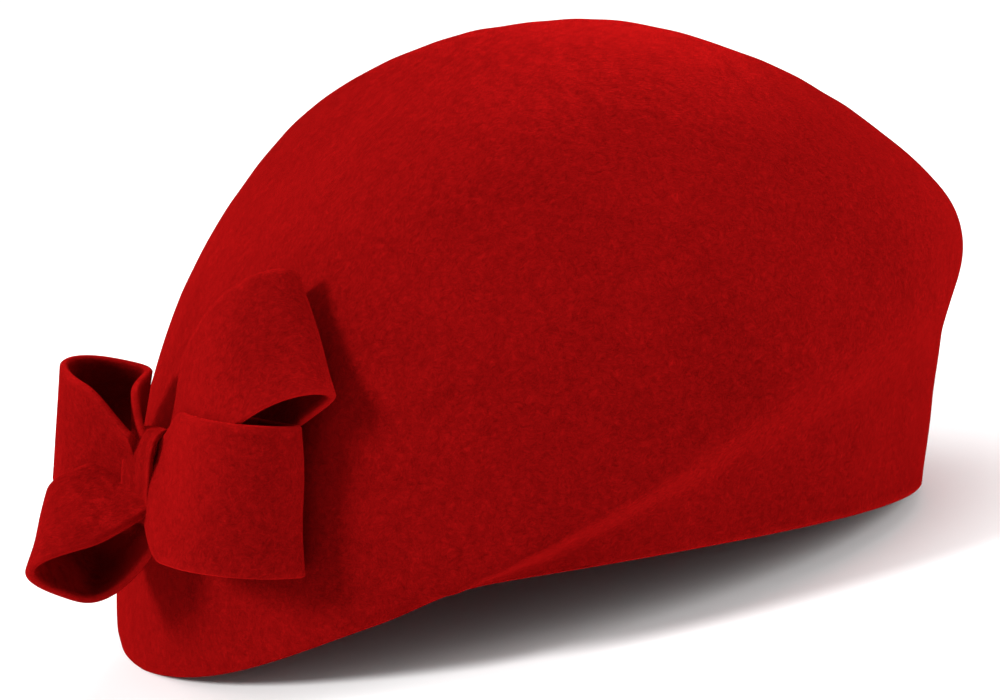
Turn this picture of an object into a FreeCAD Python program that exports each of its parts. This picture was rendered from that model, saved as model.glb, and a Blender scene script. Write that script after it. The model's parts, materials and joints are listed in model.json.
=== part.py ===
import FreeCAD, Part
import math
import os
import Sketcher

# A blocked wool-felt beret with a pressed diagonal fold, a grosgrain sweatband inside the head
# opening and a four-loop felt bow at the front, on the wearer's left of centre.
# Millimetres. +Z up, -Y the wearer's front, +X the wearer's left. The beret stands on its rim:
# the rim's lowest front and back arcs lie in the plane z = 0.

V = FreeCAD.Vector
doc = FreeCAD.newDocument("beret")
sheet = doc.addObject("Spreadsheet::Sheet", "dims")

DIMS = [
    ("origin_back", 1.73, "from the crown oval's centre back to the box's centre"),
    ("felt_thick", 2.2, "wall of the blocked felt"),
    ("crown_front", 96.8, "crown oval, centre to front"),
    ("crown_back", 127.7, "crown oval, centre to back"),
    ("crown_side", 94.6, "crown oval, half width"),
    ("band_front", 92.7, "head band oval, centre to front"),
    ("band_back", 107.6, "head band oval, centre to back"),
    ("band_side", 84.4, "head band oval, half width"),
    ("apex_y", 30.0, "highest point, behind the centre"),
    ("apex_z", 130.1, "highest point above the level the beret stands on"),
    ("fold_start_y", -40.0, "where the diagonal fold leaves the rim"),
    ("fold_back_z", 65.7, "height of the fold above the rim at the back"),
    ("fold_lean", 0.9, "how far the band leans out below the fold"),
    ("shelf_front", 6.7, "height of the turn under the fold, front"),
    ("shelf_back", 24.2, "height of the turn under the fold, back"),
    ("rim_arch", 20.2, "rise of the rim over the ears"),
    ("rim_arch_at", 72.0, "angle from the front of the highest rim point, degrees"),
    ("rim_arch_fore", 36.3, "spread of the arch towards the front, degrees"),
    ("rim_arch_aft", 80.0, "spread of the arch towards the back, degrees"),
    ("rim_trim", 0.8, "felt trimmed level under the front and the back"),
    ("ribbon_wide", 25.0, "sweatband height"),
    ("ribbon_thick", 0.7, "sweatband thickness"),
    ("ribbon_stand", 1.7, "space between felt and sweatband, for the wire"),
    ("ribbon_low", 2.0, "sweatband's lower edge above the rim"),
    ("wire_dia", 1.2, "edge wire under the sweatband"),
    ("wire_up", 5.0, "edge wire above the rim"),
    ("join_lap", 14.0, "lapped end of the sweatband"),
    ("stitch_dia", 0.6, "sewing thread, doubled"),
    ("stitch_long", 3.2, "visible stitch length"),
    ("bow_angle", 20.0, "bow, angle from the front towards the left ear, degrees"),
    ("bow_lean", 16.0, "bow leans back with the crown, degrees"),
    ("bow_z", 49.7, "height of the knot's centre"),
    ("bow_out", 92.8, "knot's centre from the beret's axis"),
    ("strip_thick", 2.0, "felt of the bow"),
    ("strip_bend", 2.2, "spread of the felt's bend at a loop's tip"),
    ("strip_root", 17.5, "width of a bow strip gathered in the knot"),
    ("strip_offset", 2.3, "front and rear strip, each side of the knot's centre"),
    ("knot_wide", 12.0, "knot band along the bow"),
    ("knot_high", 23.0, "knot band, outside height"),
    ("knot_deep", 13.0, "knot band, outside depth"),
    ("knot_thick", 1.5, "knot band thickness"),
    ("patch_dia", 18.0, "stay patch inside the crown behind the knot"),
    ("patch_thick", 1.0, "stay patch thickness"),
    ("label_wide", 24.0, "care label width"),
    ("label_high", 15.0, "care label, free flap"),
    ("label_tab", 3.0, "care label, sewn head"),
    ("label_thick", 0.4, "label cloth, doubled"),
    ("size_wide", 12.0, "size label width"),
    ("size_high", 14.0, "size label height"),
]
for row, (name, value, note) in enumerate(DIMS, start=1):
    sheet.set("A%d" % row, name)
    sheet.set("B%d" % row, str(value))
    sheet.set("C%d" % row, note)
    sheet.setAlias("B%d" % row, name)
doc.recompute()


def size(name):
    return float(sheet.get(name))


# The shapes below are laid out about the crown oval's centre and then moved to the box's centre.
TO_ORIGIN = FreeCAD.Placement(V(0, -size("origin_back"), 0), FreeCAD.Rotation())


# ------------------------------------------------------------------ the blocked felt's own shape
COLUMNS = 60
BAND_ROWS = 9
CROWN_ROWS = 17
MIN_BAND = 12.0


def ease(t):
    t = min(1.0, max(0.0, t))
    return t * t * (3.0 - 2.0 * t)


def oval(phi, front, back, side):
    reach = front if math.cos(phi) > 0.0 else back
    return side * math.sin(phi), -reach * math.cos(phi)


def rim_height(phi):
    """Height of the rim at an angle from the front: level at front and back, arched at the ears."""
    away = abs(math.degrees(math.atan2(math.sin(phi), math.cos(phi))))
    peak = size("rim_arch_at")
    if away < peak:
        spread = size("rim_arch_fore")
        end = math.exp(-(peak / spread) ** 2)
    else:
        spread = size("rim_arch_aft")
        end = math.exp(-((180.0 - peak) / spread) ** 2)
    bell = math.exp(-((away - peak) / spread) ** 2)
    return size("rim_arch") * (bell - end) / (1.0 - end) - size("rim_trim")


def blend3(phi, front, side, back):
    """A value that changes from the front over the sides to the back."""
    c = math.cos(phi)
    return (front if c > 0.0 else back) * c * c + side * math.sin(phi) ** 2


def meridian(phi):
    """Points of the outer surface from the rim over the fold to the apex, and the fold's index."""
    bx, by = oval(phi, size("band_front"), size("band_back"), size("band_side"))
    cx, cy = oval(phi, size("crown_front"), size("crown_back"), size("crown_side"))
    rim = rim_height(phi)
    start = size("fold_start_y")
    along = (cy - start) / (size("crown_back") - start)
    fold = size("fold_back_z") * 0.5 * (along + math.hypot(along, 0.02))
    plain = ease((start + 2.0 - cy) / 5.0)
    shelf = size("shelf_front") + (size("shelf_back") - size("shelf_front")) * ease(along)
    points = []
    for step in range(25):
        t = step / 24.0
        up = fold * t
        turn = ease((up - (fold - shelf)) / shelf) if fold > shelf else ease(t)
        out = size("fold_lean") * t * ease(fold / size("fold_back_z"))
        out = out + (1.0 - out) * turn
        out = plain + (1.0 - plain) * out
        points.append(V(bx + (cx - bx) * out, by + (cy - by) * out, rim + up))
    rise = blend3(phi, 0.25, 0.70, 0.12)
    full = blend3(phi, 0.63, 0.75, 0.53)
    base = rim + fold
    for step in range(1, 61):
        t = step / 60.0
        b0, b1 = (1.0 - t) ** 3, 3.0 * t * (1.0 - t) ** 2
        b2, b3 = 3.0 * t * t * (1.0 - t), t ** 3
        spread = b0 + b1 + b2 * full
        height = b1 * rise + b2 + b3
        x = cx * spread
        y = size("apex_y") + (cy - size("apex_y")) * spread
        points.append(V(x, y, base + (size("apex_z") - base) * height))
    return points, 24


def lengths(points):
    total = [0.0]
    for a, b in zip(points, points[1:]):
        total.append(total[-1] + (b - a).Length)
    return total


def at_length(points, run, wanted):
    """The point at a length along a polyline whose running lengths are given."""
    for k in range(1, len(run)):
        if run[k] >= wanted:
            gap = run[k] - run[k - 1]
            share = (wanted - run[k - 1]) / gap if gap > 1e-9 else 0.0
            return points[k - 1] + (points[k] - points[k - 1]) * share
    return points[-1]


def outer_net():
    """Rows from the rim to the apex, each a closed ring of points on the outer surface."""
    columns = []
    for j in range(COLUMNS):
        points, fold = meridian(2.0 * math.pi * j / COLUMNS)
        run = lengths(points)
        turn = max(run[fold], MIN_BAND)
        marks = [turn * i / BAND_ROWS for i in range(BAND_ROWS)]
        marks += [turn + (run[-1] - turn) * i / CROWN_ROWS for i in range(CROWN_ROWS + 1)]
        columns.append([at_length(points, run, mark) for mark in marks])
    return [[column[i] for column in columns] for i in range(len(columns[0]))]


def net_normals(net):
    """Outward normals of a net of rings; the last ring may be a single point, facing up."""
    rows, cols = len(net), len(net[0])
    normals = []
    for i in range(rows):
        ring = []
        for j in range(cols):
            up = net[min(i + 1, rows - 1)][j] - net[max(i - 1, 0)][j]
            around = net[i][(j + 1) % cols] - net[i][j - 1]
            if around.Length < 1e-6:
                ring.append(V(0, 0, 1))
                continue
            normal = around.cross(up)
            ring.append(normal.normalize())
        normals.append(ring)
    return normals


def shifted(net, normals, distance):
    """The net moved inwards; its rim row keeps its height so that the rim's edge stays level."""
    moved = []
    for i, ring in enumerate(net):
        new = []
        for point, normal in zip(ring, normals[i]):
            target = point - normal * distance
            if i == 0:
                target.z = point.z
            new.append(target)
        moved.append(new)
    return moved


def net_surface(net):
    surface = Part.BSplineSurface()
    rows, cols = len(net), len(net[0])
    row_mults = [4] + [1] * (rows - 4) + [4]
    col_mults = [1] * (cols + 1)
    row_knots = list(range(len(row_mults)))
    col_knots = list(range(cols + 1))
    surface.buildFromPolesMultsKnots(net, row_mults, col_mults, row_knots, col_knots,
                                     False, True, 3, 3)
    return surface


def closed_solid(faces):
    shell = Part.makeCompound(faces)
    shell.sewShape()
    solid = Part.Solid(shell.Shells[0])
    if solid.Volume < 0.0:
        solid.reverse()
    return solid


def ring_edge(surface, last):
    bounds = surface.bounds()
    return surface.uIso(bounds[1] if last else bounds[0]).toShape()


def skin_solid(outer, inner, capped):
    """A closed wall between two nets of rings; capped means that both nets close at an apex."""
    outside = net_surface(outer)
    inside = net_surface(inner)
    faces = [outside.toShape(), inside.toShape()]
    faces.append(Part.makeRuledSurface(ring_edge(outside, False), ring_edge(inside, False)))
    if not capped:
        faces.append(Part.makeRuledSurface(ring_edge(outside, True), ring_edge(inside, True)))
    return closed_solid(faces)


def feature(name, shape):
    """A sub-part whose shape is computed from the sheet."""
    part = doc.addObject("Part::Feature", name)
    part.Label = name
    part.Shape = shape
    part.Placement = TO_ORIGIN
    return part


OUTER = outer_net()
NORMALS = net_normals(OUTER)
INNER = shifted(OUTER, NORMALS, size("felt_thick"))

felt = skin_solid(OUTER, INNER, True)
below = Part.makeBox(400, 400, 20, V(-200, -200, -20))
feature("felt_body", felt.cut(below))

# ------------------------------------------------------------------ sweatband, wire and stitches
WALL = [[INNER[i][j] for i in range(len(INNER))] for j in range(COLUMNS)]
MIDDLE_Y = 5.0


def at_height(j, height):
    """The point of the inner wall in one column at a height above the rim."""
    points = WALL[j]
    target = points[0].z + height
    for low, high in zip(points, points[1:]):
        if high.z >= target:
            share = (target - low.z) / max(high.z - low.z, 1e-9)
            return low + (high - low) * share
    return points[-1]


def inside_wall(j, up, stand):
    """A point above the rim that stands off the wall: plumb where the wall turns outwards."""
    around = WALL[(j + 1) % COLUMNS][0] - WALL[j - 1][0]
    inwards = V(-around.y, around.x, 0).normalize()
    best = None
    for height in (1.0, up):
        point = at_height(j, height) + inwards * stand
        reach = math.hypot(point.x, point.y - MIDDLE_Y)
        if best is None or reach < best[0]:
            best = (reach, point)
    return V(best[1].x, best[1].y, WALL[j][0].z + up)


def wall_net(low, high, stand, rows=5):
    return [[inside_wall(j, low + (high - low) * i / (rows - 1), stand) for j in range(COLUMNS)]
            for i in range(rows)]


RIBBON_TOP = size("ribbon_low") + size("ribbon_wide")
ribbon_face = size("ribbon_stand") + size("ribbon_thick")
ribbon_back = wall_net(size("ribbon_low"), RIBBON_TOP, size("ribbon_stand"))
ribbon_front = wall_net(size("ribbon_low"), RIBBON_TOP, ribbon_face)
feature("sweatband", skin_solid(ribbon_back, ribbon_front, False))

wire_stand = 0.5 * size("wire_dia") + 0.25
WIRE_SIDES = 8
# A uniform cubic ring through 8 poles lies at this share of the poles' own radius.
pole_radius = 0.5 * size("wire_dia") * 3.0 / (2.0 + math.cos(2.0 * math.pi / WIRE_SIDES))
wire_net = []
for j in range(COLUMNS):
    centre = inside_wall(j, size("wire_up"), wire_stand)
    ahead = inside_wall((j + 1) % COLUMNS, size("wire_up"), wire_stand)
    behind = inside_wall((j - 1) % COLUMNS, size("wire_up"), wire_stand)
    along = (ahead - behind).normalize()
    side = along.cross(V(0, 0, 1)).normalize()
    top = side.cross(along)
    wire_net.append([centre + side * (pole_radius * math.cos(2.0 * math.pi * k / WIRE_SIDES))
                     + top * (pole_radius * math.sin(2.0 * math.pi * k / WIRE_SIDES))
                     for k in range(WIRE_SIDES)])
wire_surface = Part.BSplineSurface()
wire_surface.buildFromPolesMultsKnots(
    wire_net, [1] * (COLUMNS + 1), [1] * (WIRE_SIDES + 1), list(range(COLUMNS + 1)),
    list(range(WIRE_SIDES + 1)), True, True, 3, 3)
wire = Part.Solid(Part.Shell([wire_surface.toShape()]))
if wire.Volume < 0.0:
    wire.reverse()
feature("edge_wire", wire)


def frame_at(column, up, stand):
    """Placement on the inner wall: x along the rim, y up the wall, z into the opening."""
    first = int(math.floor(column))
    share = column - first

    def ring(at, height):
        return inside_wall(at % COLUMNS, height, stand)

    here = ring(first, up) * (1.0 - share) + ring(first + 1, up) * share
    above = ring(first, up + 1.0) * (1.0 - share) + ring(first + 1, up + 1.0) * share
    x_dir = (ring(first + 1, up) - ring(first - 1, up)) * (1.0 - share)
    x_dir = (x_dir + (ring(first + 2, up) - ring(first, up)) * share).normalize()
    y_dir = (above - here).normalize()
    z_dir = x_dir.cross(y_dir).normalize()
    y_dir = z_dir.cross(x_dir)
    return here, x_dir, y_dir, z_dir


def placement(origin, x_dir, y_dir, z_dir):
    matrix = FreeCAD.Matrix(x_dir.x, y_dir.x, z_dir.x, origin.x,
                            x_dir.y, y_dir.y, z_dir.y, origin.y,
                            x_dir.z, y_dir.z, z_dir.z, origin.z,
                            0, 0, 0, 1)
    return FreeCAD.Placement(matrix)


def staple(length, depth):
    """One thread stitch: a straight bar along x with a leg going down at each end."""
    thick = size("stitch_dia")
    half = 0.5 * length
    outline = [(-half, -depth), (-half, 0.5 * thick), (half, 0.5 * thick), (half, -depth),
               (half - thick, -depth), (half - thick, -0.5 * thick),
               (-half + thick, -0.5 * thick), (-half + thick, -depth)]
    points = [V(x, -0.5 * thick, z) for x, z in outline]
    return Part.Face(Part.makePolygon(points + points[:1])).extrude(V(0, thick, 0))


def stitch(column, up, stand, length, depth):
    bar = staple(length, depth)
    bar.Placement = placement(*frame_at(column, up, stand))
    return bar


STITCHES = 60
stitches = [stitch(k, 1.3 + size("ribbon_low"), ribbon_face + 0.2, size("stitch_long"), 2.6)
            for k in range(STITCHES)]
feature("sweatband_stitches", Part.makeCompound(stitches))

# The sweatband's lapped end, its labels and the bow are plain bodies on their own planes.
BACK = COLUMNS / 2.0


def new_body(name):
    body = doc.addObject("PartDesign::Body", name)
    body.Label = name
    return body


def plane_of(body, role):
    return [item for item in body.Origin.OriginFeatures if item.Role == role][0]


def rectangle(sketch, wide, high, x_mid, y_mid):
    """A rectangle with its width and height driven from the sheet."""
    x0, x1 = x_mid - 0.5 * wide, x_mid + 0.5 * wide
    y0, y1 = y_mid - 0.5 * high, y_mid + 0.5 * high
    corners = [V(x0, y0, 0), V(x1, y0, 0), V(x1, y1, 0), V(x0, y1, 0)]
    for a, b in zip(corners, corners[1:] + corners[:1]):
        sketch.addGeometry(Part.LineSegment(a, b), False)
    for k in range(4):
        sketch.addConstraint(Sketcher.Constraint("Coincident", k, 2, (k + 1) % 4, 1))
    for k in (0, 2):
        sketch.addConstraint(Sketcher.Constraint("Horizontal", k))
    for k in (1, 3):
        sketch.addConstraint(Sketcher.Constraint("Vertical", k))
    wide_at = sketch.addConstraint(Sketcher.Constraint("DistanceX", 0, 1, 0, 2, wide))
    high_at = sketch.addConstraint(Sketcher.Constraint("DistanceY", 1, 1, 1, 2, high))
    sketch.addConstraint(Sketcher.Constraint("DistanceX", -1, 1, 0, 1, x0))
    sketch.addConstraint(Sketcher.Constraint("DistanceY", -1, 1, 0, 1, y0))
    return wide_at, high_at


def flat_piece(name, wide, high, thick, frame):
    """A flat cloth piece: its sketch and pad follow the sheet, its placement the wall."""
    body = new_body(name)
    sketch = body.newObject("Sketcher::SketchObject", name + "_outline")
    sketch.AttachmentSupport = [(plane_of(body, "XY_Plane"), "")]
    sketch.MapMode = "FlatFace"
    wide_at, high_at = rectangle(sketch, size(wide), size(high), 0.0, 0.0)
    sketch.setExpression("Constraints[%d]" % wide_at, "dims." + wide)
    sketch.setExpression("Constraints[%d]" % high_at, "dims." + high)
    doc.recompute()
    pad = body.newObject("PartDesign::Pad", name + "_cloth")
    pad.Profile = sketch
    pad.setExpression("Length", "dims." + thick)
    body.Placement = TO_ORIGIN.multiply(placement(*frame))
    doc.recompute()
    return body


GAP = 0.35
RING_STEP = 10.2


def patch_solid(first, last, low, high, stand, thick, count=7):
    """A piece of cloth that follows the sweatband between two columns and two heights."""
    surfaces = []
    for level in (stand, stand + thick):
        net = []
        for i in range(4):
            up = low + (high - low) * i / 3.0
            net.append([frame_at(first + (last - first) * k / (count - 1.0), up, level)[0]
                        for k in range(count)])
        surface = Part.BSplineSurface()
        surface.buildFromPolesMultsKnots(net, [4, 4], [4] + [1] * (count - 4) + [4], [0, 1],
                                         list(range(count - 2)), False, False, 3, 3)
        surfaces.append(surface)
    near, far = surfaces
    faces = [near.toShape(), far.toShape()]
    for at in (0, 1):
        faces.append(Part.makeRuledSurface(near.uIso(at).toShape(), far.uIso(at).toShape()))
    for at in (0, count - 3):
        faces.append(Part.makeRuledSurface(near.vIso(at).toShape(), far.vIso(at).toShape()))
    return closed_solid(faces)


half_lap = 0.5 * size("join_lap") / RING_STEP
feature("sweatband_join", patch_solid(BACK - 6.0 - half_lap, BACK - 6.0 + half_lap,
                                      size("ribbon_low") + 0.5, RIBBON_TOP - 0.5,
                                      ribbon_face + GAP, size("ribbon_thick")))
half_size = 0.5 * size("size_wide") / RING_STEP
feature("size_label", patch_solid(BACK - 3.4 - half_size, BACK - 3.4 + half_size,
                                  6.0, 6.0 + size("size_high"), ribbon_face + GAP,
                                  size("label_thick")))

label_face = ribbon_face + 1.9
label_top = RIBBON_TOP - 2.0
tab_up = label_top - 0.5 * size("label_tab")
flap_up = label_top - size("label_tab") - GAP - 0.5 * size("label_high")
back_frame = frame_at(BACK, 14.0, label_face)


def down_wall(up):
    """The back frame slid up or down its own plane, for the label's pieces."""
    origin, x_dir, y_dir, z_dir = back_frame
    return origin + y_dir * (up - 14.0), x_dir, y_dir, z_dir


flat_piece("label_tab", "label_wide", "label_tab", "label_thick", down_wall(tab_up))
flat_piece("care_label", "label_wide", "label_high", "label_thick", down_wall(flap_up))

tab_origin, tab_x, tab_y, tab_z = down_wall(tab_up)
tab_stitches = []
for k in range(4):
    bar = staple(size("stitch_long"), 3.2)
    start = tab_origin + tab_x * (-9.0 + 6.0 * k) + tab_z * (size("label_thick") + 0.2)
    bar.Placement = placement(start, tab_x, tab_y, tab_z)
    tab_stitches.append(bar)
feature("label_stitches", Part.makeCompound(tab_stitches))

# ------------------------------------------------------------------ bow
turn_to = math.radians(size("bow_angle"))
lean = math.radians(size("bow_lean"))
along_bow = V(math.cos(turn_to), math.sin(turn_to), 0)
level_out = V(math.sin(turn_to), -math.cos(turn_to), 0)
out_bow = level_out * math.cos(lean) + V(0, 0, 1) * math.sin(lean)
up_bow = along_bow.cross(out_bow) * -1.0
if up_bow.z < 0.0:
    up_bow = up_bow * -1.0
knot = level_out * size("bow_out") + V(0, 0, size("bow_z"))

# Each loop leaves the knot on one side: slope in the bow's plane, roll about its own length,
# swing out from the crown (degrees), length, front and back fullness, width (mm), bend (1/m),
# twist over its length and skew of its tip (degrees).
LOOPS = {
    "left_front": (1, -1.6, -4.1, -9.0, 47.8, 16.4, 0.5, 34.3, 3.5, 22.5, 0.0),
    "left_rear": (1, 40.2, -17.1, 3.0, 57.4, 12.5, 1.9, 34.1, 8.2, 24.5, 0.0),
    "right_front": (-1, 15.0, -14.0, -8.0, 42.0, 16.5, 1.0, 32.5, 15.5, 14.0, -14.0),
    "right_rear": (-1, -50.0, 30.0, 10.0, 30.0, 22.0, 5.2, 33.0, -3.9, 12.0, 0.0),
}
ROOT_START = 3.0


def turned(vector, axis, degrees):
    return FreeCAD.Rotation(axis, degrees).multVec(vector)


def loop_profile(name, samples=240):
    """A loop's mid-line in its own plane as rows of reach out, bulge and running length."""
    length, fore, aft = LOOPS[name][4:7]
    first = math.acos(1.0 - 2.0 * ROOT_START / length)
    rows = []
    for k in range(samples + 1):
        angle = first + (2.0 * math.pi - 2.0 * first) * k / samples
        reach = length * (1.0 - math.cos(angle)) / 2.0
        bulge = math.sin(angle) * math.sin(0.5 * angle) ** 2 / 0.65
        bulge *= fore if angle <= math.pi else aft
        bulge += 0.55 * size("strip_thick") * math.cos(0.5 * angle)
        run = 0.0
        if rows:
            run = rows[-1][2] + math.hypot(reach - rows[-1][0], bulge - rows[-1][1])
        rows.append((reach, bulge, run))
    return rows


def eased_point(rows, at):
    """Reach and bulge at a running length, averaged along the line so that its tip is round."""
    total = rows[-1][2]
    spread = min(size("strip_bend"), at / 3.0, (total - at) / 3.0)
    if spread < 0.05:
        return rows[0][:2] if at < 0.5 * total else rows[-1][:2]
    weights, reach, bulge = 0.0, 0.0, 0.0
    for before, here, after in zip(rows, rows[1:], rows[2:]):
        weight = (after[2] - before[2]) * math.exp(-0.5 * ((here[2] - at) / spread) ** 2)
        weights += weight
        reach += weight * here[0]
        bulge += weight * here[1]
    return reach / weights, bulge / weights


def loop_stations(name, root, count=37):
    """Mid-line points, width directions and widths along a loop, from the knot and back to it."""
    side, slope, roll, swing, length, fore, aft, wide, bend, twist, skew = LOOPS[name]
    run = turned(along_bow * side, out_bow, slope * side)
    across = turned(up_bow, out_bow, slope * side)
    outward = V(out_bow)
    if turned(run, across, 1.0).dot(outward) < run.dot(outward):
        swing = -swing
    run, outward = turned(run, across, swing), turned(outward, across, swing)
    radius = 1000.0 / bend
    rows = loop_profile(name)
    stations = []
    for k in range(count):
        reach, bulge = eased_point(rows, rows[-1][2] * k / (count - 1))
        x = (radius + bulge) * math.sin(reach / radius)
        y = (radius + bulge) * math.cos(reach / radius) - radius
        gather = ease(reach / (0.4 * length))
        width = size("strip_root") + (wide - size("strip_root")) * gather
        part = reach / length
        rolled = turned(across, run, roll + twist * (part - 0.5))
        stations.append((root + run * x + outward * y,
                         turned(rolled, outward, -side * skew * part), width))
    return stations


def ribbon(stations, thick):
    """A strip of felt lofted through its stations."""
    wires = []
    for k, (middle, across, width) in enumerate(stations):
        before = stations[max(k - 1, 0)][0]
        after = stations[min(k + 1, len(stations) - 1)][0]
        face = (after - before).cross(across).normalize() * (0.5 * thick)
        edge = across * (0.5 * width)
        corners = [middle - edge - face, middle + edge - face,
                   middle + edge + face, middle - edge + face]
        wires.append(Part.makePolygon(corners + corners[:1]))
    return Part.makeLoft(wires, True, False, False)


def bow_strip(left, right, offset):
    """Two loops of one strip and the flat middle that the knot binds."""
    root = knot + out_bow * offset
    pieces = [ribbon(loop_stations(name, root), size("strip_thick")) for name in (left, right)]
    deep = 2.0 * size("strip_thick")
    middle = Part.makeBox(11.0, size("strip_root"), deep,
                          V(-5.5, -0.5 * size("strip_root"), -0.5 * deep))
    lie = 0.5 * (LOOPS[left][1] - LOOPS[right][1])
    along, across = turned(along_bow, out_bow, lie), turned(up_bow, out_bow, lie)
    middle.Placement = placement(root, along, across, along.cross(across))
    return middle.fuse(pieces)


front_strip = bow_strip("left_front", "right_front", size("strip_offset"))
rear_strip = bow_strip("left_rear", "right_rear", -size("strip_offset"))
# The rear strip gives way where the front strip presses on it; only its main piece is kept.
pressed = sorted(rear_strip.cut(front_strip).Solids, key=lambda solid: solid.Volume)[-1]
feature("bow_front_strip", front_strip)
feature("bow_rear_strip", pressed)


def rounded(sketch, wide, high, radius):
    """A rounded rectangle about the sketch's origin."""
    first = sketch.GeometryCount
    x, y = 0.5 * wide - radius, 0.5 * high - radius
    turns = [(x, y, 0.0), (-x, y, 0.5), (-x, -y, 1.0), (x, -y, 1.5)]
    ends = []
    for cx, cy, start in turns:
        circle = Part.Circle(V(cx, cy, 0), V(0, 0, 1), radius)
        low, high_end = start * math.pi, (start + 0.5) * math.pi
        sketch.addGeometry(Part.ArcOfCircle(circle, low, high_end), False)
        ends.append((V(cx + radius * math.cos(low), cy + radius * math.sin(low), 0),
                     V(cx + radius * math.cos(high_end), cy + radius * math.sin(high_end), 0)))
    for k in range(4):
        sketch.addGeometry(Part.LineSegment(ends[k][1], ends[(k + 1) % 4][0]), False)
    for k in range(4):
        sketch.addConstraint(Sketcher.Constraint("Tangent", first + k, 2, first + 4 + k, 1))
        sketch.addConstraint(Sketcher.Constraint("Tangent", first + 4 + k, 2,
                                                 first + (k + 1) % 4, 1))


band = new_body("knot_band")
band_sketch = band.newObject("Sketcher::SketchObject", "knot_band_outline")
band_sketch.AttachmentSupport = [(plane_of(band, "XY_Plane"), "")]
band_sketch.MapMode = "FlatFace"
rounded(band_sketch, size("knot_high"), size("knot_deep"), 4.2)
rounded(band_sketch, size("knot_high") - 2.0 * size("knot_thick"),
        size("knot_deep") - 2.0 * size("knot_thick"), 1.8)
doc.recompute()
band_pad = band.newObject("PartDesign::Pad", "knot_band_felt")
band_pad.Profile = band_sketch
band_pad.Midplane = True
band_pad.setExpression("Length", "dims.knot_wide")
band.Placement = TO_ORIGIN.multiply(
    placement(knot, up_bow, along_bow.cross(up_bow), along_bow))

patch = new_body("bow_patch")
patch_sketch = patch.newObject("Sketcher::SketchObject", "bow_patch_outline")
patch_sketch.AttachmentSupport = [(plane_of(patch, "XY_Plane"), "")]
patch_sketch.MapMode = "FlatFace"
patch_sketch.addGeometry(Part.Circle(V(0, 0, 0), V(0, 0, 1), 0.5 * size("patch_dia")), False)
patch_sketch.addConstraint(Sketcher.Constraint("Coincident", 0, 3, -1, 1))
patch_dia = patch_sketch.addConstraint(Sketcher.Constraint("Diameter", 0, size("patch_dia")))
patch_sketch.setExpression("Constraints[%d]" % patch_dia, "dims.patch_dia")
doc.recompute()
patch_pad = patch.newObject("PartDesign::Pad", "bow_patch_felt")
patch_pad.Profile = patch_sketch
patch_pad.setExpression("Length", "dims.patch_thick")
doc.recompute()


def crown_depth(direction):
    """Distance from the knot's centre back along a direction to the felt's outer surface."""
    ray = Part.makeLine(knot, knot + direction * 60.0)
    hits = [vertex.Point for vertex in ray.common(felt).Vertexes]
    return min((hit - knot).Length for hit in hits)


depth = crown_depth(out_bow * -1.0)
patch_from_knot = depth + size("felt_thick") + 2.6
patch_origin = knot - out_bow * (patch_from_knot + size("patch_thick"))
patch.Placement = TO_ORIGIN.multiply(
    placement(patch_origin, along_bow, up_bow, along_bow.cross(up_bow)))

tacks = []
for side in (-1.0, 1.0):
    for height in (-3.0, 3.0):
        start = knot + along_bow * (3.5 * side) + up_bow * height - out_bow * 4.5
        reach = patch_from_knot + size("patch_thick") + 0.3 - 4.5
        tacks.append(Part.makeCylinder(0.4, reach, start, out_bow * -1.0))
feature("bow_tack_stitches", Part.makeCompound(tacks))

# ------------------------------------------------------------------ check and export
doc.recompute()
os.makedirs("parts", exist_ok=True)
NODES = ["felt_body", "edge_wire", "sweatband", "sweatband_join", "sweatband_stitches",
         "label_tab", "care_label", "label_stitches", "size_label", "bow_front_strip",
         "bow_rear_strip", "knot_band", "bow_patch", "bow_tack_stitches"]
for node in NODES:
    part = doc.getObject(node)
    bad = [state for state in part.State if state in ("Invalid", "Error")]
    if bad or part.Shape.isNull() or not part.Shape.isValid():
        raise RuntimeError("%s is not a good solid: %s" % (node, bad))
    part.Shape.exportStep("parts/%s.step" % node)
    box = part.Shape.BoundBox
    print("%-20s solids %2d volume %10.1f  x %.1f..%.1f y %.1f..%.1f z %.1f..%.1f" % (
        node, len(part.Shape.Solids), part.Shape.Volume, box.XMin, box.XMax,
        box.YMin, box.YMax, box.ZMin, box.ZMax))
print("knot", knot, "felt behind the knot at", round(depth, 2))
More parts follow.
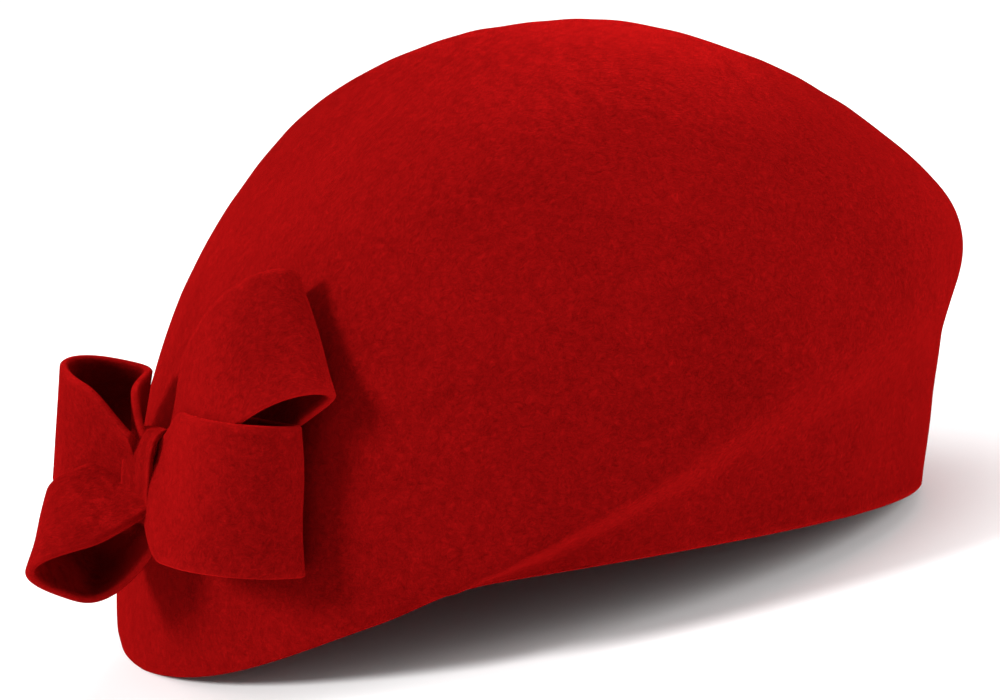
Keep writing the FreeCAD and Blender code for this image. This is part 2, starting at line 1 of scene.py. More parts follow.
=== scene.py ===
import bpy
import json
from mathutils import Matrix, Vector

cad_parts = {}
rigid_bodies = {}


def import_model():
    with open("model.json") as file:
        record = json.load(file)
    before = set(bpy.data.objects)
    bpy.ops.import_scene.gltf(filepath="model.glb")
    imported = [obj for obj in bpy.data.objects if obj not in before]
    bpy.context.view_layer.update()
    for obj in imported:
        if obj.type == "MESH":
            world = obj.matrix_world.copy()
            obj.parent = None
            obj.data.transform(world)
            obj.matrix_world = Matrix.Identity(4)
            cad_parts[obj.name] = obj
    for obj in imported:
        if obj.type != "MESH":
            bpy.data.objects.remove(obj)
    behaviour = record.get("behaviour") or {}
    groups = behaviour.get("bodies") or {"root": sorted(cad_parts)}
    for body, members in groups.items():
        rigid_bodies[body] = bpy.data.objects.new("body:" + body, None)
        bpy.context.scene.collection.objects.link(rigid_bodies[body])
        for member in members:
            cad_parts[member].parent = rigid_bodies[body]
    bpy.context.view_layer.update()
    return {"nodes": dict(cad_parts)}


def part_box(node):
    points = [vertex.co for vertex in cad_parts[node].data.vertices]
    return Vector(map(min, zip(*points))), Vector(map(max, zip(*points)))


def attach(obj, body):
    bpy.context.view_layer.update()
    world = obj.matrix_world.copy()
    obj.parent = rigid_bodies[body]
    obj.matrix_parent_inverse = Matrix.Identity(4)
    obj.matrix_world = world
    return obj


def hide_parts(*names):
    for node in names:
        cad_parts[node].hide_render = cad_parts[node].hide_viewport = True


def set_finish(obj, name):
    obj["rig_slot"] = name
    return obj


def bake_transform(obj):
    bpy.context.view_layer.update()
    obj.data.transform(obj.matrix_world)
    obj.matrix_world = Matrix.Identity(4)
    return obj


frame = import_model()

import json
import math

import bpy
import numpy as np
from mathutils import Matrix, Vector

# The looks of a blocked felt beret. Lengths are millimetres about the crown oval's centre unless a
# comment says otherwise; put() turns them into metres about the part's origin.
MM = 0.001
TO_ORIGIN = np.array([0.0, -1.73, 0.0])
FELT = 2.2
RIM_TRIM = 0.8
UP = np.array([0.0, 0.0, 1.0])


def put(points):
    return (np.asarray(points, float) + TO_ORIGIN) * MM


def unit(v):
    v = np.asarray(v, float)
    return v / np.maximum(np.linalg.norm(v, axis=-1, keepdims=True), 1e-12)


def ease(t):
    t = np.clip(t, 0.0, 1.0)
    return t * t * (3.0 - 2.0 * t)


def running(points):
    """Length along a polyline at each of its points."""
    return np.concatenate([[0.0], np.cumsum(np.linalg.norm(np.diff(points, axis=0), axis=1))])


# ------------------------------------------------------------------ mesh building
def mesh_object(name, points, faces, slot, body="root", layers=None):
    """A smooth mesh piece from points in millimetres and faces; layers are named point values."""
    mesh = bpy.data.meshes.new(name)
    mesh.from_pydata([tuple(p) for p in put(points)], [], [tuple(f) for f in faces])
    mesh.polygons.foreach_set("use_smooth", [True] * len(mesh.polygons))
    for key, values in (layers or {}).items():
        layer = mesh.attributes.new(key, "FLOAT", "POINT")
        layer.data.foreach_set("value", np.asarray(values, np.float32).ravel())
    mesh.update()
    piece = bpy.data.objects.new(name, mesh)
    bpy.context.scene.collection.objects.link(piece)
    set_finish(piece, slot)
    if body:
        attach(piece, body)
    return piece


class Parts:
    """Collects grids and tubes into one mesh."""

    def __init__(self):
        self.points = []
        self.faces = []
        self.layers = {}
        self.count = 0

    def add(self, points, faces, **layers):
        points = np.asarray(points, float).reshape(-1, 3)
        self.points.append(points)
        self.faces += [tuple(i + self.count for i in f) for f in faces]
        for key in sorted(set(self.layers) | set(layers)):
            values = np.broadcast_to(np.asarray(layers.get(key, 0.0), float), (len(points),))
            known = self.layers.get(key, np.zeros(self.count))
            self.layers[key] = np.concatenate([known, values])
        self.count += len(points)

    def make(self, name, slot, body="root"):
        return mesh_object(name, np.vstack(self.points), self.faces, slot, body,
                           layers=self.layers)


def grid_faces(rows, cols, wrap_cols=False, wrap_rows=False, flip=False):
    faces = []
    for i in range(rows if wrap_rows else rows - 1):
        for j in range(cols if wrap_cols else cols - 1):
            a, b = i * cols + j, i * cols + (j + 1) % cols
            c, d = ((i + 1) % rows) * cols + (j + 1) % cols, ((i + 1) % rows) * cols + j
            faces.append((d, c, b, a) if flip else (a, b, c, d))
    return faces


def ring_strip(sections):
    """Points and faces of a closed tube through sections, each a closed loop of points."""
    sections = np.asarray(sections, float)
    n, k = sections.shape[:2]
    faces = grid_faces(n, k, wrap_cols=True)
    faces.append(tuple(range(k - 1, -1, -1)))
    faces.append(tuple((n - 1) * k + i for i in range(k)))
    return sections.reshape(-1, 3), faces


WAVES = 9


def wander(points, wave, seed):
    """A smooth field of about unit size that varies over a wave length, for hand-made unevenness."""
    rng = np.random.default_rng(seed)
    total = np.zeros(points.shape[:-1])
    for _ in range(WAVES):
        direction = unit(rng.normal(size=3)) * (2.0 * math.pi / wave) * rng.uniform(0.6, 1.4)
        total = total + np.sin(points @ direction + rng.uniform(0.0, 6.3))
    return total / math.sqrt(0.5 * WAVES)


# ------------------------------------------------------------------ the block's shape
# Columns of the net and finer steps between two of them, then its rows below and above the fold,
# and the steps in which a meridian is drawn before its rows are spaced evenly.
COLUMNS, FINE = 60, 8
BAND_ROWS, CROWN_ROWS, MIN_BAND = 44, 104, 12.0
BAND_STEPS, CROWN_STEPS = 60, 160
# Ovals as reach to the front, to the back and to a side.
CROWN_OVAL = (96.8, 127.7, 94.6)
BAND_OVAL = (92.7, 107.6, 84.4)
APEX_Y, APEX_Z = 30.0, 130.1
FOLD_START_Y, FOLD_BACK_Z, FOLD_LEAN, FOLD_ONSET = -40.0, 65.7, 0.9, 0.02
SHELF_FRONT, SHELF_BACK = 6.7, 24.2
# In front of the fold's start the band goes plainly up to the crown, over a short change.
PLAIN_AFTER, PLAIN_OVER = 2.0, 5.0
# Shares at the front, side and back: how far out the crown's middle reaches and how high it is.
CROWN_REACH, CROWN_RISE = (0.63, 0.75, 0.53), (0.25, 0.70, 0.12)
ROUND_FRONT, ROUND_BACK = 0.8, 3.4
# The rim's arch at each side: its height, then its place and its two spreads in degrees.
RIM_ARCH, ARCH_AT, ARCH_FORE, ARCH_AFT = 20.2, 72.0, 36.3, 80.0


def oval(phi, front, back, side):
    """A point of an oval, with phi from the wearer's front round the left."""
    reach = front if math.cos(phi) > 0.0 else back
    return side * math.sin(phi), -reach * math.cos(phi)


def rim_height(phi):
    away = abs(math.degrees(math.atan2(math.sin(phi), math.cos(phi))))
    if away < ARCH_AT:
        spread = ARCH_FORE
        end = math.exp(-(ARCH_AT / spread) ** 2)
    else:
        spread = ARCH_AFT
        end = math.exp(-((180.0 - ARCH_AT) / spread) ** 2)
    bell = math.exp(-((away - ARCH_AT) / spread) ** 2)
    return RIM_ARCH * (bell - end) / (1.0 - end) - RIM_TRIM


def all_round(phi, front, side, back):
    """A value that goes smoothly from the front over the side to the back."""
    c = math.cos(phi)
    return (front if c > 0.0 else back) * c * c + side * math.sin(phi) ** 2


def meridian(phi):
    """Outer surface from the rim over the fold to the apex, and the share of the fold's length."""
    bx, by = oval(phi, *BAND_OVAL)
    cx, cy = oval(phi, *CROWN_OVAL)
    rim = rim_height(phi)
    along = (cy - FOLD_START_Y) / (CROWN_OVAL[1] - FOLD_START_Y)
    fold = FOLD_BACK_Z * 0.5 * (along + math.hypot(along, FOLD_ONSET))
    plain = float(ease((FOLD_START_Y + PLAIN_AFTER - cy) / PLAIN_OVER))
    shelf = SHELF_FRONT + (SHELF_BACK - SHELF_FRONT) * float(ease(along))
    t = np.linspace(0.0, 1.0, BAND_STEPS + 1)
    up = fold * t
    turn = ease((up - (fold - shelf)) / shelf) if fold > shelf else ease(t)
    out = FOLD_LEAN * t * float(ease(fold / FOLD_BACK_Z))
    out = out + (1.0 - out) * turn
    out = plain + (1.0 - plain) * out
    band = np.stack([bx + (cx - bx) * out, by + (cy - by) * out, rim + up], 1)
    t = np.linspace(0.0, 1.0, CROWN_STEPS + 1)[1:]
    b0, b1, b2, b3 = (1 - t) ** 3, 3 * t * (1 - t) ** 2, 3 * t * t * (1 - t), t ** 3
    spread = b0 + b1 + b2 * all_round(phi, *CROWN_REACH)
    height = b1 * all_round(phi, *CROWN_RISE) + b2 + b3
    base = rim + fold
    crown = np.stack([cx * spread, APEX_Y + (cy - APEX_Y) * spread,
                      base + (APEX_Z - base) * height], 1)
    return np.vstack([band, crown]), max(0.0, along)


def soften(points, run, sigma):
    """Rounds a polyline over a length, with its two ends held."""
    width = sigma * np.clip(np.minimum(run, run[-1] - run) / (3.0 * sigma), 1e-3, 1.0)
    gap = (run[:, None] - run[None, :]) / width[:, None]
    weight = np.exp(-0.5 * gap ** 2)
    weight /= weight.sum(1, keepdims=True)
    return weight @ points


def outer_columns():
    """Rows of the meridians, evenly spaced below and above the fold, with the fold rounded."""
    columns = []
    for j in range(COLUMNS):
        points, along = meridian(2.0 * math.pi * j / COLUMNS)
        run = running(points)
        turn = max(run[BAND_STEPS], MIN_BAND)
        marks = np.concatenate([np.linspace(0.0, turn, BAND_ROWS, endpoint=False),
                                np.linspace(turn, run[-1], CROWN_ROWS + 1)])
        even = np.stack([np.interp(marks, run, points[:, k]) for k in range(3)], 1)
        columns.append(soften(even, marks, ROUND_FRONT + ROUND_BACK * along))
    return np.stack(columns, 1)


def round_ring(net, steps=FINE):
    """The uniform cubic ring through a net's columns, evaluated between them."""
    u = np.arange(steps) / steps
    basis = np.stack([(1 - u) ** 3, 3 * u ** 3 - 6 * u ** 2 + 4,
                      -3 * u ** 3 + 3 * u ** 2 + 3 * u + 1, u ** 3]) / 6.0
    parts = sum(basis[k][None, None, :, None] * np.roll(net, 1 - k, axis=1)[:, :, None, :]
                for k in range(4))
    return parts.reshape(net.shape[0], -1, net.shape[2])


def normals_of(net):
    """Outward normals of a net of rings from the rim to the apex."""
    up = np.gradient(net, axis=0)
    around = np.roll(net, -1, axis=1) - np.roll(net, 1, axis=1)
    normal = np.cross(around, up)
    size = np.linalg.norm(normal, axis=2, keepdims=True)
    normal = np.where(size > 1e-9, normal / np.maximum(size, 1e-12), UP)
    normal[-1] = UP
    return normal


NET = outer_columns()
NET_NORMALS = normals_of(NET)
INNER = NET - NET_NORMALS * FELT
INNER[0, :, 2] = NET[0, :, 2]


# The felt's unevenness as height and wave length, and the rows over which it fades in at the rim.
BROAD_HIGH, BROAD_WAVE, FINE_HIGH, FINE_WAVE, UNEVEN_ROWS = 0.22, 46.0, 0.07, 13.0, 12.0
# The last of these is how much of the painted highlight along the cut edge reaches the rows beside
# it.
EDGE_POINTS, INNER_SKIP, CUT_HIGHLIGHT_FADE = 7, 3, 0.35


def felt_body():
    """The shell: outside, rounded cut edge and a coarser inside, each closed at its apex."""
    outer = round_ring(NET)
    rows, cols = outer.shape[:2]
    normal = normals_of(outer)
    fade = ease(np.arange(rows) / UNEVEN_ROWS)[:, None]
    uneven = BROAD_HIGH * wander(outer, BROAD_WAVE, 3) + FINE_HIGH * wander(outer, FINE_WAVE, 4)
    outer = outer + normal * uneven[..., None] * fade[..., None]
    inner = outer - normal * FELT
    inner[0, :, 2] = outer[0, :, 2]
    level = unit(normal[0] * np.array([1.0, 1.0, 0.0]))
    upward = unit(outer[1] - outer[0])
    edge = []
    for t in np.linspace(0.0, 1.0, EDGE_POINTS):
        rise = 0.5 * (1.0 - math.sqrt(max(0.0, 1.0 - (2.0 * t - 1.0) ** 2)))
        edge.append(outer[0] - level * (FELT * t) + upward * rise)
    inner_rows = list(range(1, rows - 1, INNER_SKIP))
    sheets = [outer[i] for i in range(rows - 2, 0, -1)] + edge + [inner[i] for i in inner_rows]
    # The cut edge's rows are marked for a painted highlight, weaker on the rows beside it.
    highlight_marks = ([0.0] * (rows - 3) + [CUT_HIGHLIGHT_FADE] + [1.0] * len(edge) + [CUT_HIGHLIGHT_FADE]
             + [0.0] * (len(inner_rows) - 1))
    net = np.stack(sheets)
    net[..., 2] = np.maximum(net[..., 2], 0.0)
    points = np.vstack([net.reshape(-1, 3), outer[-1].mean(0), inner[-1].mean(0)])
    faces = grid_faces(len(net), cols, wrap_cols=True, flip=True)
    top, under, last = len(points) - 2, len(points) - 1, (len(net) - 1) * cols
    for j in range(cols):
        k = (j + 1) % cols
        faces.append((top, j, k))
        faces.append((under, last + k, last + j))
    marks = np.concatenate([np.repeat(highlight_marks, cols), [0.0, 0.0]])
    piece = mesh_object("felt_shell", points, faces, "wool_felt", layers={"cut": marks})
    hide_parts("felt_body")


# ------------------------------------------------------------------ inside the head opening
RIBBON_LOW, RIBBON_WIDE, RIBBON_THICK, RIBBON_STAND = 2.0, 25.0, 0.7, 1.7
RIBBON_FACE = RIBBON_STAND + RIBBON_THICK
RIBBON_TOP = RIBBON_LOW + RIBBON_WIDE
MIDDLE_Y = 5.0


def at_height(j, height):
    """The point of an inner column at a height above its rim."""
    wall = INNER[:, j % COLUMNS]
    target = wall[0, 2] + height
    k = int(np.argmax(wall[1:, 2] >= target))
    low, high = wall[k], wall[k + 1]
    return low + (high - low) * (target - low[2]) / max(high[2] - low[2], 1e-9)


def inside_wall(j, up, stand):
    """A point that stands off the felt's inner wall: plumb where the wall turns outwards."""
    j %= COLUMNS
    around = INNER[0, (j + 1) % COLUMNS] - INNER[0, j - 1]
    inwards = unit(np.array([-around[1], around[0], 0.0]))
    spots = [at_height(j, height) + inwards * stand for height in (1.0, up)]
    reach = [math.hypot(p[0], p[1] - MIDDLE_Y) for p in spots]
    best = spots[int(np.argmin(reach))]
    return np.array([best[0], best[1], INNER[0, j, 2] + up])


def frame_at(column, up, stand):
    """Point and directions on the inner wall: along the rim, up the wall, into the opening."""
    first = int(math.floor(column))
    share = column - first
    here = inside_wall(first, up, stand) * (1 - share) + inside_wall(first + 1, up, stand) * share
    above = (inside_wall(first, up + 1.0, stand) * (1 - share)
             + inside_wall(first + 1, up + 1.0, stand) * share)
    x_dir = (inside_wall(first + 1, up, stand) - inside_wall(first - 1, up, stand)) * (1 - share)
    x_dir = unit(x_dir + (inside_wall(first + 2, up, stand) - inside_wall(first, up, stand))
                 * share)
    y_dir = unit(above - here)
    z_dir = unit(np.cross(x_dir, y_dir))
    return here, x_dir, np.cross(z_dir, x_dir), z_dir


def slab(front, back, wrap=False):
    """A closed cloth between two grids of the same size."""
    rows, cols = front.shape[:2]
    points = np.vstack([front.reshape(-1, 3), back.reshape(-1, 3)])
    half = rows * cols
    faces = grid_faces(rows, cols, wrap_cols=wrap)
    faces += [tuple(i + half for i in f[::-1]) for f in grid_faces(rows, cols, wrap_cols=wrap)]
    rim = []
    for j in range(cols if wrap else cols - 1):
        k = (j + 1) % cols
        rim.append((k, j, j + half, k + half))
        a, b = (rows - 1) * cols + j, (rows - 1) * cols + k
        rim.append((a, b, b + half, a + half))
    if not wrap:
        for i in range(rows - 1):
            a, b = i * cols, (i + 1) * cols
            rim.append((a, b, b + half, a + half))
            a, b = a + cols - 1, b + cols - 1
            rim.append((b, a, a + half, b + half))
    return points, faces + rim


RIBS_PER_COLUMN, PER_RIB, RIB_HIGH, SELVAGE_RIB = 11, 6, 0.10, 0.2
SELVAGE, EDGE_ROW, RIBBON_ROWS = 2.0, 0.5, 7


def sweatband():
    """The grosgrain ribbon round the opening, ribbed on both faces and flatter at its selvages."""
    rows = [RIBBON_LOW, RIBBON_LOW + EDGE_ROW]
    rows += list(np.linspace(RIBBON_LOW + SELVAGE, RIBBON_TOP - SELVAGE, RIBBON_ROWS))
    rows += [RIBBON_TOP - EDGE_ROW, RIBBON_TOP]
    steps = RIBS_PER_COLUMN * PER_RIB
    grids = []
    for stand in (RIBBON_FACE, RIBBON_STAND):
        net = np.array([[inside_wall(j, up, stand) for j in range(COLUMNS)] for up in rows])
        grids.append(round_ring(net, steps))
    front, back = grids
    inwards = unit(front - back)
    cols = front.shape[1]
    rib = np.cos(2.0 * math.pi * np.arange(cols) / PER_RIB)
    share = np.ones(len(rows))
    share[[0, -1]] = SELVAGE_RIB
    relief = RIB_HIGH * rib[None, :] * share[:, None]
    slack = 0.10 * wander(front, 38.0, 8)
    front = front + inwards * (slack + relief)[..., None]
    back = back + inwards * (slack - relief)[..., None]
    points, faces = slab(front, back, wrap=True)
    # The rib mark carries painted shade between the ribs and a painted highlight on their crests.
    ribs = np.tile(0.5 + 0.5 * rib, len(rows) * 2)
    piece = mesh_object("inner_ribbon", points, faces, "grosgrain", layers={"rib": ribs})
    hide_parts("sweatband")


CLOTH_COLS, CLOTH_ROWS, POINTS_PER_RIB, CLOTH_RIB = 13, 11, 4, 0.09


def wall_patch(name, slot, first, last, low, high, stand, thick, node, rib=0, bow_out=0.0):
    """A cloth that follows the ribbon between two columns and two heights."""
    cols = rib * POINTS_PER_RIB + 1 if rib else CLOTH_COLS
    rows = CLOTH_ROWS
    grids = []
    for level in (stand + thick, stand):
        net = []
        for i in range(rows):
            up = low + (high - low) * i / (rows - 1)
            net.append([frame_at(first + (last - first) * k / (cols - 1), up, level)[0]
                        for k in range(cols)])
        grids.append(np.array(net))
    front, back = grids
    inwards = unit(front - back)
    v = np.linspace(-1.0, 1.0, cols)[None, :, None]
    w = np.linspace(-1.0, 1.0, rows)[:, None, None]
    lift = bow_out * (1.0 - v ** 2) * (1.0 - w ** 2) * inwards
    ribs = np.cos(np.arange(cols) * math.pi / 2.0) if rib else np.zeros(cols)
    front = front + lift + inwards * (CLOTH_RIB * ribs[None, :, None])
    back = back + lift
    points, faces = slab(front, back)
    # The rib mark carries painted shade between the ribs and a painted highlight on their crests.
    layer = np.tile(0.5 + 0.5 * ribs, rows * 2)
    piece = mesh_object(name, points, faces, slot, layers={"rib": layer})
    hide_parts(node)
    return piece


THREAD_TURN, THREAD_SIDES, THREAD_PLY = 1.3, 10, 0.14


def thread(path, radius):
    """A two-ply thread along a path, round at its ends; its plies turn once in THREAD_TURN."""
    path = np.asarray(path, float)
    run = running(path)
    tangent = unit(np.gradient(path, axis=0))
    side = unit(np.cross(tangent, tangent[0] + np.array([0.31, 0.17, 0.9])))
    up = np.cross(side, tangent)
    sections = []
    for k in range(len(path)):
        end = math.sqrt(max(0.05, 1.0 - (2.0 * k / (len(path) - 1) - 1.0) ** 8))
        turn = 2.0 * math.pi * run[k] / THREAD_TURN
        ring = []
        for s in range(THREAD_SIDES):
            angle = 2.0 * math.pi * s / THREAD_SIDES
            r = radius * end * (1.0 - THREAD_PLY + THREAD_PLY * math.cos(2.0 * (angle - turn)))
            ring.append(path[k] + side[k] * (r * math.cos(angle)) + up[k] * (r * math.sin(angle)))
        sections.append(ring)
    return ring_strip(sections)


STITCH_POINTS = 15


def stitch_path(length, depth):
    """A stitch that comes out of the cloth, lies on it and goes in again, in its own plane."""
    t = np.linspace(-1.0, 1.0, STITCH_POINTS)
    x = 0.5 * length * np.sign(t) * (1.0 - (1.0 - np.abs(t)) ** 1.6)
    z = -depth * np.abs(t) ** 5
    return x, z


def sew(parts, origin, x_dir, z_dir, length, radius, depth, lean=0.0, y_dir=None):
    """Adds a stitch along x_dir that dips against z_dir and leans along y_dir."""
    x, z = stitch_path(length, depth)
    path = origin + x[:, None] * x_dir + z[:, None] * z_dir
    if y_dir is not None:
        path = path + (lean * x / length)[:, None] * y_dir
    parts.add(*thread(path, radius))


STITCHES = 60
STITCH_LONG, STITCH_RADIUS, STITCH_DEEP, STITCH_UP, STITCH_STAND = 3.4, 0.3, 1.5, 1.3, 0.16


def band_stitches():
    """The hand stitches that hold the ribbon's lower edge, each a little out of place."""
    parts = Parts()
    rng = np.random.default_rng(12)
    for k in range(STITCHES):
        origin, x_dir, y_dir, z_dir = frame_at(k, STITCH_UP + RIBBON_LOW,
                                               RIBBON_FACE + STITCH_STAND)
        origin = origin + x_dir * rng.uniform(-0.4, 0.4) + y_dir * rng.uniform(-0.12, 0.12)
        sew(parts, origin, x_dir, z_dir, STITCH_LONG * rng.uniform(0.93, 1.05), STITCH_RADIUS,
            STITCH_DEEP, rng.uniform(-0.25, 0.25), y_dir)
    piece = parts.make("ribbon_stitches", "thread")
    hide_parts("sweatband_stitches")


# RING_STEP is the length that one column is taken for. The rim measures 9.2 to 9.7 between two
# columns at these two cloths, so both come out slightly narrower than they are named.
RING_STEP = 10.2
BACK_COLUMN = COLUMNS // 2
LAP_COLUMN, LAP_WIDE, LAP_RIBS, LAP_INSET = BACK_COLUMN - 6.0, 14.0, 15, 0.3
SIZE_COLUMN, SIZE_WIDE, SIZE_LOW, SIZE_HIGH = BACK_COLUMN - 3.4, 12.0, 6.0, 20.0
CLOTH_GAP, SIZE_PUFF = 0.3, 0.5
LABEL_WIDE, LABEL_FLAP, LABEL_TAB, LABEL_THICK = 24.0, 15.0, 3.0, 0.4
LABEL_COLS, LABEL_ROWS, LABEL_CURL, HEM_HIGH, HEM_WIDE = 33, 27, 0.9, 0.07, 1.6
TAB_STITCHES, TAB_STITCH_STEP = 6, 4.0


def size_tag():
    half = 0.5 * SIZE_WIDE / RING_STEP
    piece = wall_patch("size_tag", "label_cloth", SIZE_COLUMN - half, SIZE_COLUMN + half,
                       SIZE_LOW, SIZE_HIGH, RIBBON_FACE + CLOTH_GAP, LABEL_THICK, "size_label",
                       bow_out=SIZE_PUFF)


def ribbon_lap():
    half = 0.5 * LAP_WIDE / RING_STEP
    piece = wall_patch("ribbon_lap", "grosgrain", LAP_COLUMN - half, LAP_COLUMN + half,
                       RIBBON_LOW + LAP_INSET, RIBBON_TOP - LAP_INSET, RIBBON_FACE + CLOTH_GAP,
                       RIBBON_THICK, "sweatband_join", rib=LAP_RIBS)


def care_tag():
    """The care label as one cloth: its head lies on the ribbon and its flap curls away from it.

    Returns the y of its face and the height of the middle of its head.
    """
    low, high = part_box("care_label")
    tab_low, tab_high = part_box("label_tab")
    front_y, back_y = low.y / MM - TO_ORIGIN[1], high.y / MM - TO_ORIGIN[1]
    bottom, top = low.z / MM, tab_high.z / MM
    x = np.linspace(-0.5 * LABEL_WIDE, 0.5 * LABEL_WIDE, LABEL_COLS)
    z = np.linspace(bottom, top, LABEL_ROWS)
    grid_x, grid_z = np.meshgrid(x, z)
    free = ease((top - LABEL_TAB - grid_z) / LABEL_FLAP)
    curl = LABEL_CURL * free * (0.35 + (grid_x / (0.5 * LABEL_WIDE)) ** 2)
    hem = HEM_HIGH * (np.abs(grid_x) > 0.5 * LABEL_WIDE - HEM_WIDE)
    front = np.stack([grid_x, front_y - curl - hem, grid_z], 2)
    back = np.stack([grid_x, back_y - curl, grid_z], 2)
    points, faces = slab(front, back)
    piece = mesh_object("care_tag", points, faces, "label_cloth", body=None)
    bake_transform(piece)
    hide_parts("label_tab", "care_label")
    return front_y, 0.5 * (tab_low.z + tab_high.z) / MM


def label_threads(face_y, middle_z):
    parts = Parts()
    face = np.array([0.0, face_y - STITCH_STAND, middle_z])
    for k in range(TAB_STITCHES):
        place = TAB_STITCH_STEP * (k - 0.5 * (TAB_STITCHES - 1))
        sew(parts, face + np.array([place, 0.0, 0.0]), np.array([1.0, 0.0, 0.0]),
            np.array([0.0, -1.0, 0.0]), 2.9, 0.24, 1.8)
    threads = parts.make("label_threads", "thread")
    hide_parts("label_stitches")


# ------------------------------------------------------------------ bow
BOW_ANGLE, BOW_LEAN = math.radians(20.0), math.radians(16.0)
BOW_OUT, BOW_Z = 92.8, 49.7
STRIP_THICK, STRIP_ROOT, STRIP_OFFSET, ROOT_START, STRIP_BEND = 2.0, 17.5, 2.3, 3.0, 2.2
ALONG = np.array([math.cos(BOW_ANGLE), math.sin(BOW_ANGLE), 0.0])
LEVEL_OUT = np.array([math.sin(BOW_ANGLE), -math.cos(BOW_ANGLE), 0.0])
OUT = LEVEL_OUT * math.cos(BOW_LEAN) + UP * math.sin(BOW_LEAN)
UP_BOW = np.cross(OUT, ALONG) * np.sign(np.cross(OUT, ALONG)[2])
KNOT = LEVEL_OUT * BOW_OUT + UP * BOW_Z

# side, slope, roll and swing (degrees), length, front and back fullness and width (mm), bend (1/m),
# then twist and skew over the length (degrees)
LOOPS = {
    "left_front": (1, -1.6, -4.1, -9.0, 47.8, 16.4, 0.5, 34.3, 3.5, 22.5, 0.0),
    "left_rear": (1, 40.2, -17.1, 3.0, 57.4, 12.5, 1.9, 34.1, 8.2, 24.5, 0.0),
    "right_front": (-1, 15.0, -14.0, -8.0, 42.0, 16.5, 1.0, 32.5, 15.5, 14.0, -14.0),
    "right_rear": (-1, -50.0, 30.0, 10.0, 30.0, 22.0, 5.2, 33.0, -3.9, 12.0, 0.0),
}
LOOP_SAMPLES, LOOP_STATIONS, ACROSS = 241, 121, 18
# The mid-line's bulge is a leaning sine, and BULGE_PEAK is the peak that is divided out of it. Its
# two ends lie ROOT_GAP of the thickness to either side of the loop's middle plane.
BULGE_PEAK, ROOT_GAP = 0.65, 0.55
GATHER_OVER = 0.4
PLEAT_HIGH, PLEATS, PLEAT_PHASE = 0.55, 1.5, 0.6
CUT_ROUND, CUT_SHOULDER, UNEVEN_STRIP, STRIP_WAVE = 0.42, 0.62, 0.14, 24.0


def turned(vector, axis, degrees):
    """A vector turned about an axis."""
    axis, angle = unit(axis), math.radians(degrees)
    vector = np.asarray(vector, float)
    return (vector * math.cos(angle) + np.cross(axis, vector) * math.sin(angle)
            + axis * (vector @ axis) * (1.0 - math.cos(angle)))


def loop_profile(length, fore, aft):
    """Reach and bulge at even steps along a loop's mid-line, averaged so that its tip is round."""
    first = math.acos(1.0 - 2.0 * ROOT_START / length)
    angle = np.linspace(first, 2.0 * math.pi - first, LOOP_SAMPLES)
    reach = length * (1.0 - np.cos(angle)) / 2.0
    bulge = np.sin(angle) * np.sin(0.5 * angle) ** 2 / BULGE_PEAK
    bulge = bulge * np.where(angle <= math.pi, fore, aft)
    bulge = bulge + ROOT_GAP * STRIP_THICK * np.cos(0.5 * angle)
    line = np.stack([reach, bulge], 1)
    run = running(line)
    at = np.linspace(0.0, run[-1], LOOP_STATIONS)
    spread = np.clip(np.minimum(at, run[-1] - at) / 3.0, 0.05, STRIP_BEND)
    weight = np.exp(-0.5 * ((run[None, :] - at[:, None]) / spread[:, None]) ** 2)
    weight = weight * np.gradient(run)[None, :]
    eased = weight @ line / weight.sum(1, keepdims=True)
    eased[0], eased[-1] = line[0], line[-1]
    return eased


def loop_stations(name, root):
    """Along a loop: middles, width directions, widths and gathers, and its way outward."""
    side, slope, roll, swing, length, fore, aft, wide, bend, twist, skew = LOOPS[name]
    run = turned(ALONG * side, OUT, slope * side)
    across = turned(UP_BOW, OUT, slope * side)
    outward = OUT
    if turned(run, across, 1.0) @ outward < run @ outward:
        swing = -swing
    run, outward = turned(run, across, swing), turned(outward, across, swing)
    radius = 1000.0 / bend
    middles, sides, widths, gathers = [], [], [], []
    for reach, bulge in loop_profile(length, fore, aft):
        x = (radius + bulge) * math.sin(reach / radius)
        y = (radius + bulge) * math.cos(reach / radius) - radius
        gather = float(ease(reach / (GATHER_OVER * length)))
        part = reach / length
        rolled = turned(across, run, roll + twist * (part - 0.5))
        middles.append(root + run * x + outward * y)
        sides.append(turned(rolled, outward, -side * skew * part))
        widths.append(STRIP_ROOT + (wide - STRIP_ROOT) * gather)
        gathers.append(1.0 - gather)
    return np.array(middles), np.array(sides), np.array(widths), np.array(gathers), outward


def strip_outline():
    """A strip's section as rows of share of the width, inset, height and how much is cut edge."""
    t = 0.5 * STRIP_THICK
    v = np.linspace(-0.5, 0.5, ACROSS)
    inset = 0.25 * CUT_ROUND * CUT_SHOULDER ** 2
    end = [(0.5, CUT_ROUND, t, 0.4), (0.5, inset, CUT_SHOULDER * t, 1.0), (0.5, 0.0, 0.0, 1.0),
           (0.5, inset, -CUT_SHOULDER * t, 1.0), (0.5, CUT_ROUND, -t, 0.4)]
    other_end = [(-share, -deep, -height, cut) for share, deep, height, cut in end]
    return np.array([(share, 0.0, t, 0.0) for share in v[1:-1]] + end
                    + [(share, 0.0, -t, 0.0) for share in v[-2:0:-1]] + other_end)


